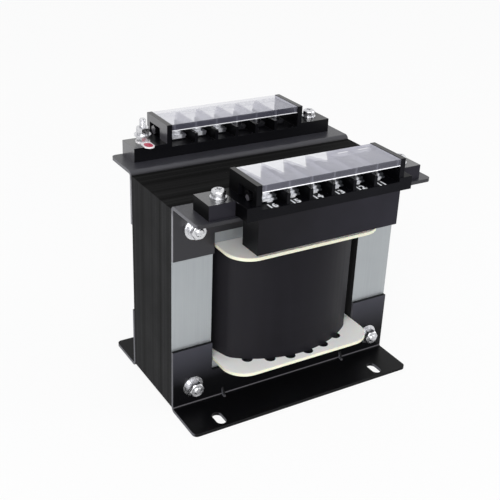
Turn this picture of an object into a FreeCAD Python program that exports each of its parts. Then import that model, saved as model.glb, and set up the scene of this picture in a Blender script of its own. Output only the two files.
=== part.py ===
import FreeCAD, Part
import math
import os
import Sketcher
from FreeCAD import Placement, Rotation, Vector

# Laminated chassis transformer: an EI core with one coil, four sheet brackets and two terminal blocks.
# X runs along the front, Y from front to back, Z up. The origin is on the floor under the core's centre.

doc = FreeCAD.newDocument("transformer")
sheet = doc.addObject("Spreadsheet::Sheet", "sizes")

SIZES = {
    # core
    "core_width": 150.0,
    "core_height": 125.0,
    "core_depth": 51.0,
    "core_lift": 2.3,
    "packet_count": 17,
    # clamp bolts
    "bolt_thread": 5.0,
    "bolt_hole": 5.8,
    "bolt_washer_width": 12.5,
    "bolt_washer_bore": 5.3,
    "bolt_washer_thickness": 1.2,
    "bolt_spring_width": 9.2,
    "bolt_spring_thickness": 1.2,
    "bolt_flats": 8.0,
    "bolt_nut_height": 4.0,
    "bolt_head_height": 3.5,
    "bolt_overhang": 0.9,
    # brackets
    "sheet_thickness": 2.0,
    "bend_radius": 3.0,
    "bracket_corner": 3.0,
    "flange_reach": 29.0,
    "shelf_gap": 0.3,
    "foot_ear": 40.0,
    "foot_web": 21.5,
    "shelf_ear": 32.6,
    "shelf_web": 20.1,
    "slot_width": 6.0,
    "slot_length": 11.0,
    "slot_end_inset": 19.6,
    "slot_edge_inset": 7.6,
    "gusset_inset": 32.5,
    "gusset_width": 1.2,
    "gusset_size": 6.5,
    # bobbin
    "bobbin_clearance": 0.3,
    "tube_wall": 1.8,
    "bobbin_flange": 1.9,
    "window_gap": 0.2,
    "bobbin_side_gap": 1.0,
    "bobbin_overhang": 0.6,
    "bobbin_corner": 14.0,
    "lead_slot_radius": 3.2,
    "lead_slot_pitch": 12.1,
    "lead_slot_shift": -2.0,
    # coil
    "coil_side_gap": 3.0,
    "coil_front_gap": 4.6,
    "coil_side_radius": 82.0,
    "coil_front_radius": 64.0,
    "coil_corner": 9.0,
    "wrap_thickness": 0.8,
    "barrier_wrap": 1.0,
    # terminal base
    "wing_inset": 7.5,
    "wing_gap": 9.9,
    "wing_depth": 16.8,
    "wing_height": 8.4,
    "floor_height": 6.2,
    "rim_overhang": 5.5,
    "rim_depth": 11.3,
    "rim_lift": 0.9,
    "cheek_margin": 5.3,
    "cheek_thickness": 3.2,
    "cheek_height": 19.4,
    "cheek_setback": 0.6,
    "recess_depth": 2.0,
    "recess_start": 9.8,
    "recess_front_leg": 3.8,
    "recess_band": 4.6,
    "peg_flats": 5.0,
    "bay_count": 6,
    "divider_thickness": 2.0,
    "divider_height": 12.2,
    "rear_setback": 2.4,
    # terminals
    "terminal_place": 14.1,
    "pad_height": 0.7,
    "pad_length": 11.0,
    "bar_width": 8.6,
    "bar_thickness": 1.0,
    "bar_back": 4.8,
    "bar_front": 6.8,
    "tail_width": 3.0,
    "tail_depth": 18.5,
    "tail_clearance": 0.2,
    "clamp_size": 9.6,
    "clamp_thickness": 1.2,
    "terminal_thread": 3.5,
    "terminal_head": 7.0,
    "terminal_head_height": 3.0,
    "terminal_shank": 6.5,
    "thread_clearance": 0.2,
    "cross_width": 0.9,
    "cross_depth": 1.0,
    # cover
    "cover_side_gap": 0.1,
    "cover_setback": 0.6,
    "cover_thickness": 1.2,
    "cover_drop": 0.2,
    "lip_height": 4.0,
    "rib_thickness": 1.2,
    # lead skirt
    "skirt_side_inset": 1.7,
    "skirt_front_inset": 0.2,
    "skirt_back": 20.5,
    "skirt_wall": 1.5,
    "skirt_drop": 17.1,
    "skirt_gap": 0.2,
    # leads
    "lead_radius": 0.9,
    "lead_clearance": 0.1,
    "lead_inset": 1.5,
    "lead_rise": 1.5,
    "lead_bend": 3.0,
    "lead_entry": 1.5,
    "lead_tail_lap": 9.0,
    # block screws and earth stud
    "block_screw_end": 17.0,
    "block_screw_inset": 7.7,
    "block_thread": 4.0,
    "block_hole": 4.4,
    "block_head": 7.6,
    "block_head_height": 3.0,
    "block_spring_width": 7.2,
    "block_spring_thickness": 1.0,
    "block_washer_width": 9.0,
    "block_washer_thickness": 0.8,
    "block_flats": 7.0,
    "block_nut_height": 3.2,
    "block_overhang": 1.0,
    "tag_width": 8.5,
    "tag_lug_width": 6.2,
    "tag_length": 9.6,
    "tag_thickness": 0.8,
    "tag_turn": -2.0,
    "earth_washer_width": 10.0,
    "earth_washer_thickness": 1.0,
    "stud_overhang": 5.0,
    "stud_head_height": 2.8,
}

for row, (alias, value) in enumerate(SIZES.items(), start=1):
    sheet.set(f"A{row}", alias)
    sheet.set(f"B{row}", str(value))
    sheet.setAlias(f"B{row}", alias)
doc.recompute()

# Widths, depths and heights that several pieces share, as expressions in the sheet's names.
# The sheets are cut without scrap: the limb is a third of the width, and legs, yokes and windows a sixth.
LIMB_EDGE = "(sizes.core_width / 6)"
LEG_WIDTH = "(sizes.core_width / 6)"
BOLT_INSET = "(sizes.core_width / 12)"
WINDOW_EDGE = f"(sizes.core_width / 2 - {LEG_WIDTH})"
PITCH_SHARE = 0.092
BAY_PITCH = f"(sizes.core_width * {PITCH_SHARE})"
CHEEK_REACH = f"({BAY_PITCH} * sizes.bay_count / 2 + sizes.cheek_margin)"
RIM_REACH = f"({CHEEK_REACH} + sizes.rim_overhang)"
SKIRT_REACH = f"({CHEEK_REACH} - sizes.skirt_side_inset)"
WING_REACH = "(sizes.core_width / 2 - sizes.wing_inset)"
SCREW_PLACE = "(sizes.core_width / 2 - sizes.block_screw_end)"
CORE_FRONT = "sizes.core_depth / 2"
WING_START = f"({CORE_FRONT} + sizes.wing_gap)"
CORE_TOP = "(sizes.core_lift + sizes.core_height)"
SHELF_BOTTOM = f"({CORE_TOP} + sizes.shelf_gap)"
SHELF_TOP = f"({SHELF_BOTTOM} + sizes.sheet_thickness)"
SHEET_FACE = f"({CORE_FRONT} + sizes.sheet_thickness)"
WING_FRONT = f"({WING_START} + sizes.wing_depth)"
RIM_FRONT = f"({WING_FRONT} + sizes.rim_depth)"
CHEEK_FRONT = f"({RIM_FRONT} - sizes.cheek_setback)"
FLOOR_TOP = f"({SHELF_TOP} + sizes.floor_height)"
WING_TOP = f"({SHELF_TOP} + sizes.wing_height)"
TERMINAL_Y = f"({WING_START} + sizes.terminal_place)"
BAR_BOTTOM = f"({FLOOR_TOP} + sizes.pad_height)"
CLAMP_BOTTOM = f"({BAR_BOTTOM} + sizes.bar_thickness)"
HEAD_BOTTOM = f"({CLAMP_BOTTOM} + sizes.clamp_thickness)"
DIVIDER_TOP = f"({SHELF_TOP} + sizes.divider_height)"
COVER_TOP = f"({SHELF_TOP} + sizes.cheek_height - sizes.cover_drop)"
TAIL_FRONT = f"({TERMINAL_Y} + sizes.bar_front)"
COIL_BOTTOM = f"(sizes.core_lift + {LEG_WIDTH} + sizes.window_gap + sizes.bobbin_flange)"
COIL_TOP = f"({CORE_TOP} - {LEG_WIDTH} - sizes.window_gap - sizes.bobbin_flange)"
BLOCK_SCREW_Y = f"({WING_FRONT} - sizes.block_screw_inset)"

ALONG_Y = Rotation(Vector(1, 0, 0), -90)
HALF_TURN = Rotation(Vector(0, 0, 1), 180)


def bind(obj, **expressions):
    """Ties properties of an object to expressions in the sheet."""
    for name, expression in expressions.items():
        obj.setExpression(name, expression)


def put(obj, x="0", y="0", z="0", rotation=None):
    """Places an object at a point given by expressions."""
    if rotation is not None:
        obj.Placement = Placement(Vector(), rotation)
    obj.setExpression("Placement.Base.x", x)
    obj.setExpression("Placement.Base.y", y)
    obj.setExpression("Placement.Base.z", z)
    return obj


def block(x0, x1, y0, y1, z0, z1):
    """Box between six bounds."""
    box = doc.addObject("Part::Box", "Block")
    bind(box, Length=f"({x1}) - ({x0})", Width=f"({y1}) - ({y0})", Height=f"({z1}) - ({z0})")
    return put(box, x0, y0, z0)


def centred(x, half_width, front, back, bottom, top):
    """Box about a place along the front, between two distances in front of the core's middle."""
    return block(f"{x} - {half_width}", f"{x} + {half_width}", f"-({front})", f"-({back})", bottom, top)


def rod(radius, length, x="0", y="0", z="0", rotation=None):
    """Cylinder that starts at a point and runs along its own Z axis."""
    cylinder = doc.addObject("Part::Cylinder", "Rod")
    bind(cylinder, Radius=radius, Height=length)
    return put(cylinder, x, y, z, rotation)


def fuse(*shapes):
    union = doc.addObject("Part::MultiFuse", "Union")
    union.Shapes = list(shapes)
    union.Refine = True
    return union


def common(*shapes):
    overlap = doc.addObject("Part::MultiCommon", "Overlap")
    overlap.Shapes = list(shapes)
    overlap.Refine = True
    return overlap


def cut(base, *tools):
    """Takes every tool away from the base."""
    result = doc.addObject("Part::Cut", "Cut")
    result.Base = base
    result.Tool = tools[0] if len(tools) == 1 else fuse(*tools)
    result.Refine = True
    return result


def rounded(base, radius, chosen):
    """Rounds the edges of a solid that the test picks."""
    doc.recompute()
    fillet = doc.addObject("Part::Fillet", "Rounded")
    fillet.Base = base
    edges = enumerate(base.Shape.Edges, start=1)
    fillet.Edges = [(i, radius, radius) for i, edge in edges if chosen(edge)]
    return fillet


def group(shapes):
    compound = doc.addObject("Part::Compound", "Group")
    compound.Links = list(shapes)
    return compound


NODES = []


def node(label, obj):
    """Marks an object as a finished piece."""
    obj.Label = label
    NODES.append(obj)
    return obj


def body(name):
    return doc.addObject("PartDesign::Body", name)


def sketch_on(owner, role, name):
    """Sketch on one of the body's own origin planes."""
    sketch = owner.newObject("Sketcher::SketchObject", name)
    plane = next(f for f in owner.Origin.OriginFeatures if f.Role == role)
    sketch.AttachmentSupport = [(plane, "")]
    sketch.MapMode = "FlatFace"
    return sketch


def outline(sketch, points):
    """Closed run of lines through points that are given as pairs of expressions."""
    count = len(points)
    first = sketch.GeometryCount
    ring = [Rotation(Vector(0, 0, 1), 360.0 * i / count).multVec(Vector(50, 0, 0)) for i in range(count)]
    for i in range(count):
        sketch.addGeometry(Part.LineSegment(ring[i], ring[(i + 1) % count]), False)
    for i in range(count):
        sketch.addConstraint(Sketcher.Constraint("Coincident", first + i, 2, first + (i + 1) % count, 1))
    for i, (x, y) in enumerate(points):
        for kind, expression in (("DistanceX", x), ("DistanceY", y)):
            index = sketch.addConstraint(Sketcher.Constraint(kind, -1, 1, first + i, 1, 10.0))
            sketch.setExpression(f"Constraints[{index}]", expression)


def circle(sketch, x, y, radius):
    """Circle whose centre and radius are expressions."""
    geometry = sketch.addGeometry(Part.Circle(Vector(10, 10, 0), Vector(0, 0, 1), 1.0), False)
    for kind, expression in (("DistanceX", x), ("DistanceY", y)):
        index = sketch.addConstraint(Sketcher.Constraint(kind, -1, 1, geometry, 3, 10.0))
        sketch.setExpression(f"Constraints[{index}]", expression)
    index = sketch.addConstraint(Sketcher.Constraint("Radius", geometry, 1.0))
    sketch.setExpression(f"Constraints[{index}]", radius)


def pad(owner, sketch, length):
    """Adds material along the sketch's normal."""
    feature = owner.newObject("PartDesign::Pad", "Pad")
    feature.Profile = sketch
    feature.setExpression("Length", length)
    return feature


def pocket(owner, sketch, length):
    """Takes material away along the sketch's normal, and makes sure that it does."""
    doc.recompute()
    before = owner.Shape.Volume
    feature = owner.newObject("PartDesign::Pocket", "Pocket")
    feature.Profile = sketch
    feature.setExpression("Length", length)
    feature.Reversed = True
    doc.recompute()
    if owner.Shape.Volume >= before:
        raise RuntimeError(f"{owner.Name}: a pocket cuts nothing")
    return feature


def fillet(owner, radius, chosen):
    """Rounds the edges of the body that the test picks."""
    doc.recompute()
    tip = owner.Tip
    edges = [f"Edge{i}" for i, edge in enumerate(tip.Shape.Edges, start=1) if chosen(edge)]
    feature = owner.newObject("PartDesign::Fillet", "Fillet")
    feature.Base = (tip, edges)
    feature.setExpression("Radius", radius)
    return feature


def rectangle(x0, x1, y0, y1):
    return [(x0, y0), (x1, y0), (x1, y1), (x0, y1)]


def upright_edge(edge):
    """True for a straight edge along Z."""
    box = edge.BoundBox
    return box.ZLength > 0.1 and box.XLength < 0.01 and box.YLength < 0.01


# Core: packets of E and I sheets. Every other packet stands on its head, so the joints are staggered.
def lamination_sketch(name, points, hole_height):
    sketch = doc.addObject("Sketcher::SketchObject", name)
    sketch.Placement = Placement(Vector(), Rotation(Vector(1, 0, 0), 90))
    outline(sketch, points)
    for side in ("-", ""):
        hole_place = f"{side}(sizes.core_width / 2 - {BOLT_INSET})"
        circle(sketch, hole_place, hole_height, "sizes.bolt_hole / 2")
    return sketch


def lamination_stack(sketch):
    packets = []
    for i in range(int(SIZES["packet_count"])):
        packet = doc.addObject("Part::Extrusion", "Packet")
        packet.Base = sketch
        packet.DirMode = "Normal"
        packet.Reversed = True
        packet.Solid = True
        packet.FaceMakerClass = "Part::FaceMakerBullseye"
        packet.setExpression("LengthFwd", "sizes.core_depth / sizes.packet_count")
        start = f"sizes.core_depth * ({i} / sizes.packet_count - 0.5)"
        if i % 2:
            put(packet, y=start, z=CORE_TOP, rotation=Rotation(Vector(0, 1, 0), 180))
        else:
            put(packet, y=start, z="sizes.core_lift")
        packets.append(packet)
    return group(packets)


def e_sheet():
    edge = "sizes.core_width / 2"
    leg = WINDOW_EDGE
    limb = LIMB_EDGE
    low = LEG_WIDTH
    high = f"(sizes.core_height - {LEG_WIDTH})"
    right = [(edge, "0"), (edge, high), (leg, high), (leg, low), (limb, low), (limb, high)]
    left = [(f"-{x}", z) for x, z in reversed(right)]
    return lamination_sketch("ESheet", right + left, BOLT_INSET)


def i_sheet():
    edge = "sizes.core_width / 2"
    low = f"sizes.core_height - {LEG_WIDTH}"
    points = rectangle(f"-{edge}", edge, low, "sizes.core_height")
    return lamination_sketch("ISheet", points, f"sizes.core_height - {BOLT_INSET}")


node("core_e_laminations", lamination_stack(e_sheet()))
node("core_i_laminations", lamination_stack(i_sheet()))


# Coil outline: two flat arcs at front and back, two at the sides, and rounded corners.
COIL_HALF_WIDTH = f"({WINDOW_EDGE} - sizes.coil_side_gap)"
COIL_HALF_DEPTH = f"({CORE_FRONT} + {LEG_WIDTH} - sizes.coil_front_gap)"
TUBE_INSIDE_X = f"({LIMB_EDGE} + sizes.bobbin_clearance)"
TUBE_INSIDE_Y = f"({CORE_FRONT} + sizes.bobbin_clearance)"
TUBE_OUTSIDE_X = f"({TUBE_INSIDE_X} + sizes.tube_wall)"
TUBE_OUTSIDE_Y = f"({TUBE_INSIDE_Y} + sizes.tube_wall)"
SECONDARY_SHARE = 0.36


def coil_edge(x):
    """Depth of the coil's front face at a place along the front."""
    radius = SIZES["coil_front_radius"]
    half_depth = SIZES["core_depth"] / 2 + SIZES["core_width"] / 6 - SIZES["coil_front_gap"]
    return half_depth - radius + math.sqrt(radius * radius - x * x)


def coil_block(depth, inset):
    """Solid of the coil's outline, moved inwards by an inset."""
    shapes = []
    for sign in ("-", ""):
        front = rod(f"sizes.coil_front_radius - ({depth})", f"{COIL_TOP} - {COIL_BOTTOM}")
        put(front, y=f"{sign}({COIL_HALF_DEPTH} - sizes.coil_front_radius)", z=COIL_BOTTOM)
        side = rod(f"sizes.coil_side_radius - ({depth})", f"{COIL_TOP} - {COIL_BOTTOM}")
        put(side, x=f"{sign}({COIL_HALF_WIDTH} - sizes.coil_side_radius)", z=COIL_BOTTOM)
        shapes += [front, side]
    radius = max(SIZES["coil_corner"] - inset, 1.0)
    return rounded(common(*shapes), radius, upright_edge)


def windings():
    """Layers from the outside in: each is a ring, and the primary fills what is left round the tube."""
    room = SIZES["core_width"] / 6 - SIZES["coil_side_gap"] - SIZES["bobbin_clearance"] - SIZES["tube_wall"]
    secondary = f"({COIL_HALF_WIDTH} - {TUBE_OUTSIDE_X}) * {SECONDARY_SHARE}"
    layers = [
        ("outer_wrap", "sizes.wrap_thickness", SIZES["wrap_thickness"]),
        ("secondary_winding", secondary, room * SECONDARY_SHARE),
        ("interwinding_insulation", "sizes.barrier_wrap", SIZES["barrier_wrap"]),
    ]
    depth = "0"
    inset = 0.0
    for label, thickness, amount in layers:
        inner_depth = f"{depth} + {thickness}"
        inner_inset = inset + amount
        outer = coil_block(depth, inset)
        inner = coil_block(inner_depth, inner_inset)
        node(label, cut(outer, inner))
        depth = inner_depth
        inset = inner_inset
    sides = (f"-{TUBE_OUTSIDE_X}", TUBE_OUTSIDE_X, f"-{TUBE_OUTSIDE_Y}", TUBE_OUTSIDE_Y)
    node("primary_winding", cut(coil_block(depth, inset), block(*sides, COIL_BOTTOM, COIL_TOP)))


windings()


# Bobbin: a square tube on the middle limb between two flanges, with slots for the leads at the coil's edge.
def lead_slot_places():
    """Places along the front of the slots in the flanges."""
    middle = (SIZES["bay_count"] - 1) / 2
    count = int(SIZES["bay_count"])
    return [(i - middle) * SIZES["lead_slot_pitch"] + SIZES["lead_slot_shift"] for i in range(count)]


def bobbin():
    piece = body("Bobbin")
    bottom = f"({COIL_BOTTOM} - sizes.bobbin_flange)"
    edge_x = f"({WINDOW_EDGE} - sizes.bobbin_side_gap)"
    edge_y = f"({CORE_FRONT} + {LEG_WIDTH} + sizes.bobbin_overhang)"
    layers = [
        (bottom, edge_x, edge_y, "sizes.bobbin_flange"),
        (bottom, TUBE_OUTSIDE_X, TUBE_OUTSIDE_Y, f"{COIL_TOP} - {bottom}"),
        (COIL_TOP, edge_x, edge_y, "sizes.bobbin_flange"),
    ]
    for height, half_x, half_y, length in layers:
        sketch = sketch_on(piece, "XY_Plane", "Plate")
        sketch.setExpression("AttachmentOffset.Base.z", height)
        outline(sketch, rectangle(f"-{half_x}", half_x, f"-{half_y}", half_y))
        pad(piece, sketch, length)
    reach = SIZES["core_depth"] / 2 + SIZES["core_width"] / 6 + SIZES["bobbin_overhang"]
    corners = lambda edge: upright_edge(edge) and abs(abs(edge.BoundBox.Center.y) - reach) < 0.01
    fillet(piece, "sizes.bobbin_corner", corners)
    hole = sketch_on(piece, "XY_Plane", "LimbHole")
    outline(hole, rectangle(f"-{TUBE_INSIDE_X}", TUBE_INSIDE_X, f"-{TUBE_INSIDE_Y}", TUBE_INSIDE_Y))
    pocket(piece, hole, CORE_TOP)
    slots = sketch_on(piece, "XY_Plane", "LeadSlots")
    for i in range(int(SIZES["bay_count"])):
        across = f"(({i} - (sizes.bay_count - 1) / 2) * sizes.lead_slot_pitch + sizes.lead_slot_shift)"
        arc = f"sqrt(sizes.coil_front_radius^2 - {across}^2)"
        edge = f"({COIL_HALF_DEPTH} - sizes.coil_front_radius + {arc})"
        circle(slots, across, f"-{edge}", "sizes.lead_slot_radius")
        circle(slots, f"-{across}", edge, "sizes.lead_slot_radius")
    pocket(piece, slots, CORE_TOP)
    return piece


node("bobbin", bobbin())


# Brackets: angle sheets whose upright lies on the core and reaches further up at its two ends.
def bracket(name, ear, web, bolt_height):
    piece = body(name)
    face = f"({CORE_FRONT})"
    outer = f"({face} + sizes.flange_reach)"
    profile = sketch_on(piece, "YZ_Plane", "Profile")
    profile.setExpression("AttachmentOffset.Base.z", "-sizes.core_width / 2")
    outline(profile, [
        (f"-{outer}", "0"),
        (f"-{face}", "0"),
        (f"-{face}", ear),
        (f"-{SHEET_FACE}", ear),
        (f"-{SHEET_FACE}", "sizes.sheet_thickness"),
        (f"-{outer}", "sizes.sheet_thickness"),
    ])
    pad(piece, profile, "sizes.core_width")
    half_depth = SIZES["core_depth"] / 2
    thickness = SIZES["sheet_thickness"]

    def along_x_at(y, z):
        place = Vector(0, y, z)
        return lambda edge: edge.BoundBox.XLength > 1 and (edge.BoundBox.Center - place).Length < 0.01

    fillet(piece, "sizes.bend_radius", along_x_at(-half_depth, 0))
    inner_bend = along_x_at(-half_depth - thickness, thickness)
    fillet(piece, "sizes.bend_radius - sizes.sheet_thickness", inner_bend)
    reach = half_depth + SIZES["flange_reach"]
    corners = lambda edge: upright_edge(edge) and abs(edge.BoundBox.Center.y + reach) < 0.01
    fillet(piece, "sizes.bracket_corner", corners)
    window = sketch_on(piece, "XZ_Plane", "Web")
    outline(window, rectangle(f"-{WINDOW_EDGE}", WINDOW_EDGE, web, f"{ear} + 1"))
    pocket(piece, window, outer)
    holes = sketch_on(piece, "XZ_Plane", "BoltHoles")
    for side in ("-", ""):
        place = f"{side}(sizes.core_width / 2 - {BOLT_INSET})"
        circle(holes, place, bolt_height, "sizes.bolt_hole / 2")
    pocket(piece, holes, outer)
    return piece


def foot_bracket(name):
    piece = bracket(name, "sizes.foot_ear", "sizes.foot_web", f"(sizes.core_lift + {BOLT_INSET})")
    slot_x = "(sizes.core_width / 2 - sizes.slot_end_inset)"
    slot_y = f"({CORE_FRONT} + sizes.flange_reach - sizes.slot_edge_inset)"
    half_run = "(sizes.slot_length - sizes.slot_width) / 2"
    half_width = "sizes.slot_width / 2"
    near = f"({half_run} - {slot_y})"
    far = f"(-{half_run} - {slot_y})"
    middles = sketch_on(piece, "XY_Plane", "SlotMiddles")
    for side in ("-", ""):
        centre = f"{side}{slot_x}"
        outline(middles, rectangle(f"{centre} - {half_width}", f"{centre} + {half_width}", far, near))
    pocket(piece, middles, "sizes.sheet_thickness")
    for end in (near, far):
        ends = sketch_on(piece, "XY_Plane", "SlotEnds")
        for side in ("-", ""):
            circle(ends, f"{side}{slot_x}", end, half_width)
        pocket(piece, ends, "sizes.sheet_thickness")
    for side in ("-", ""):
        gusset = sketch_on(piece, "YZ_Plane", "Gusset")
        start = f"{side}(sizes.core_width / 2 - sizes.gusset_inset) - sizes.gusset_width / 2"
        gusset.setExpression("AttachmentOffset.Base.z", start)
        inside_y = f"-({CORE_FRONT} + sizes.sheet_thickness / 2)"
        inside_z = "sizes.sheet_thickness / 2"
        outline(gusset, [
            (inside_y, inside_z),
            (inside_y, "sizes.sheet_thickness + sizes.gusset_size"),
            (f"-({SHEET_FACE} + sizes.gusset_size * 0.6)", inside_z),
        ])
        pad(piece, gusset, "sizes.gusset_width")
    return piece


def shelf_bracket(name, setback):
    bolt_height = f"(sizes.sheet_thickness + sizes.shelf_gap + {BOLT_INSET})"
    piece = bracket(name, "sizes.shelf_ear", "sizes.shelf_web", bolt_height)
    holes = sketch_on(piece, "XY_Plane", "BlockHoles")
    for side in ("-", ""):
        circle(holes, f"{side}{SCREW_PLACE}", f"-({BLOCK_SCREW_Y} + {setback})", "sizes.block_hole / 2")
    pocket(piece, holes, "sizes.sheet_thickness")
    return piece


node("front_foot_bracket", foot_bracket("FrontFoot"))
node("rear_foot_bracket", put(foot_bracket("RearFoot"), rotation=HALF_TURN))
front_shelf = shelf_bracket("FrontShelf", "0")
node("front_top_bracket", put(front_shelf, z=SHELF_TOP, rotation=Rotation(Vector(0, 1, 0), 180)))
rear_shelf = shelf_bracket("RearShelf", "sizes.rear_setback")
node("rear_top_bracket", put(rear_shelf, z=SHELF_TOP, rotation=Rotation(Vector(1, 0, 0), 180)))


# Fasteners, each made upright at the origin and then placed.
def hexagon(flats, height):
    """Hexagon bar with both ends chamfered at 30 degrees."""
    prism = doc.addObject("Part::Prism", "Hexagon")
    prism.Polygon = 6
    bind(prism, Circumradius=f"{flats} / sqrt(3)", Height=height)
    face = f"{flats} * 0.475"
    wide = f"{face} + ({height}) * sqrt(3)"
    upper = doc.addObject("Part::Cone", "UpperChamfer")
    bind(upper, Radius1=wide, Radius2=face, Height=height)
    lower = doc.addObject("Part::Cone", "LowerChamfer")
    bind(lower, Radius1=face, Radius2=wide, Height=height)
    return common(prism, upper, lower)


def ring(width, bore, thickness):
    return cut(rod(f"{width} / 2", thickness), rod(f"{bore} / 2", thickness))


def nut(flats, thread, height):
    return cut(hexagon(flats, height), rod(f"{thread} / 2", height))


def spring_ring(width, bore, thickness):
    """Spring washer: a ring that is split on one side."""
    split = block("0", width, "-0.3", "0.3", "0", thickness)
    return cut(rod(f"{width} / 2", thickness), rod(f"{bore} / 2", thickness), split)


def pan_screw(head, head_height, thread, shank):
    """Pan head screw with a cross recess, its head standing on z = 0."""
    top = SIZES[head.split(".")[1]] / 2 * 0.4
    crown = rod(f"{head} / 2", head_height)
    crown = rounded(crown, top, lambda e: len(e.Vertexes) == 1 and e.BoundBox.ZMin > 0.1)
    stem = rod(f"{thread} / 2", shank, z=f"-{shank}")
    arm = f"{head} * 0.28"
    slots = []
    half = "sizes.cross_width / 2"
    floor = f"{head_height} - sizes.cross_depth"
    for half_x, half_y in ((arm, half), (half, arm)):
        slots.append(block(f"-{half_x}", half_x, f"-{half_y}", half_y, floor, head_height))
    return cut(fuse(crown, stem), *slots)


BOLT_X = f"(sizes.core_width / 2 - {BOLT_INSET})"
BOLT_LOW = f"(sizes.core_lift + {BOLT_INSET})"
BOLT_HIGH = f"({CORE_TOP} - {BOLT_INSET})"
BOLT_SPOTS = [(f"{side}{BOLT_X}", height) for height in (BOLT_LOW, BOLT_HIGH) for side in ("-", "")]
WASHER_FRONT = f"({SHEET_FACE} + sizes.bolt_washer_thickness)"
SPRING_FRONT = f"({WASHER_FRONT} + sizes.bolt_spring_thickness)"
NUT_FRONT = f"({SPRING_FRONT} + sizes.bolt_nut_height)"
BOLT_END = f"({NUT_FRONT} + sizes.bolt_overhang)"


def at_bolts(make, y):
    """Group of one fastener at the four clamp bolts, starting at a depth and running backwards."""
    return group([put(make(), x, y, z, ALONG_Y) for x, z in BOLT_SPOTS])


def clamp_bolt():
    shank = rod("sizes.bolt_thread / 2", f"{BOLT_END} + {WASHER_FRONT}")
    head = put(hexagon("sizes.bolt_flats", "sizes.bolt_head_height"), z=f"{BOLT_END} + {WASHER_FRONT}")
    return fuse(shank, head)


def bolt_washer():
    return ring("sizes.bolt_washer_width", "sizes.bolt_washer_bore", "sizes.bolt_washer_thickness")


def bolt_spring():
    return spring_ring("sizes.bolt_spring_width", "sizes.bolt_washer_bore", "sizes.bolt_spring_thickness")


def bolt_nut():
    return nut("sizes.bolt_flats", "sizes.bolt_thread", "sizes.bolt_nut_height")


node("core_bolts", at_bolts(clamp_bolt, f"-{BOLT_END}"))
node("front_core_washers", at_bolts(bolt_washer, f"-{WASHER_FRONT}"))
node("rear_core_washers", at_bolts(bolt_washer, SHEET_FACE))
node("core_spring_washers", at_bolts(bolt_spring, f"-{SPRING_FRONT}"))
node("core_nuts", at_bolts(bolt_nut, f"-{NUT_FRONT}"))


# Terminal block, made at the front. The rear one is the same turned about Z and set back a little.
CHEEK_INNER = f"({CHEEK_REACH} - sizes.cheek_thickness)"
BAYS = [f"(({i} - (sizes.bay_count - 1) / 2) * {BAY_PITCH})" for i in range(int(SIZES["bay_count"]))]
DIVIDERS = [f"(({i} - sizes.bay_count / 2) * {BAY_PITCH})" for i in range(1, int(SIZES["bay_count"]))]
RIM_BOTTOM = f"({SHELF_TOP} + sizes.rim_lift)"
CHEEK_TOP = f"({SHELF_TOP} + sizes.cheek_height)"
SCREW_TIP = f"({HEAD_BOTTOM} - sizes.terminal_shank)"
TERMINAL_HOLE = "sizes.terminal_thread / 2 + sizes.thread_clearance"


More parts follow.
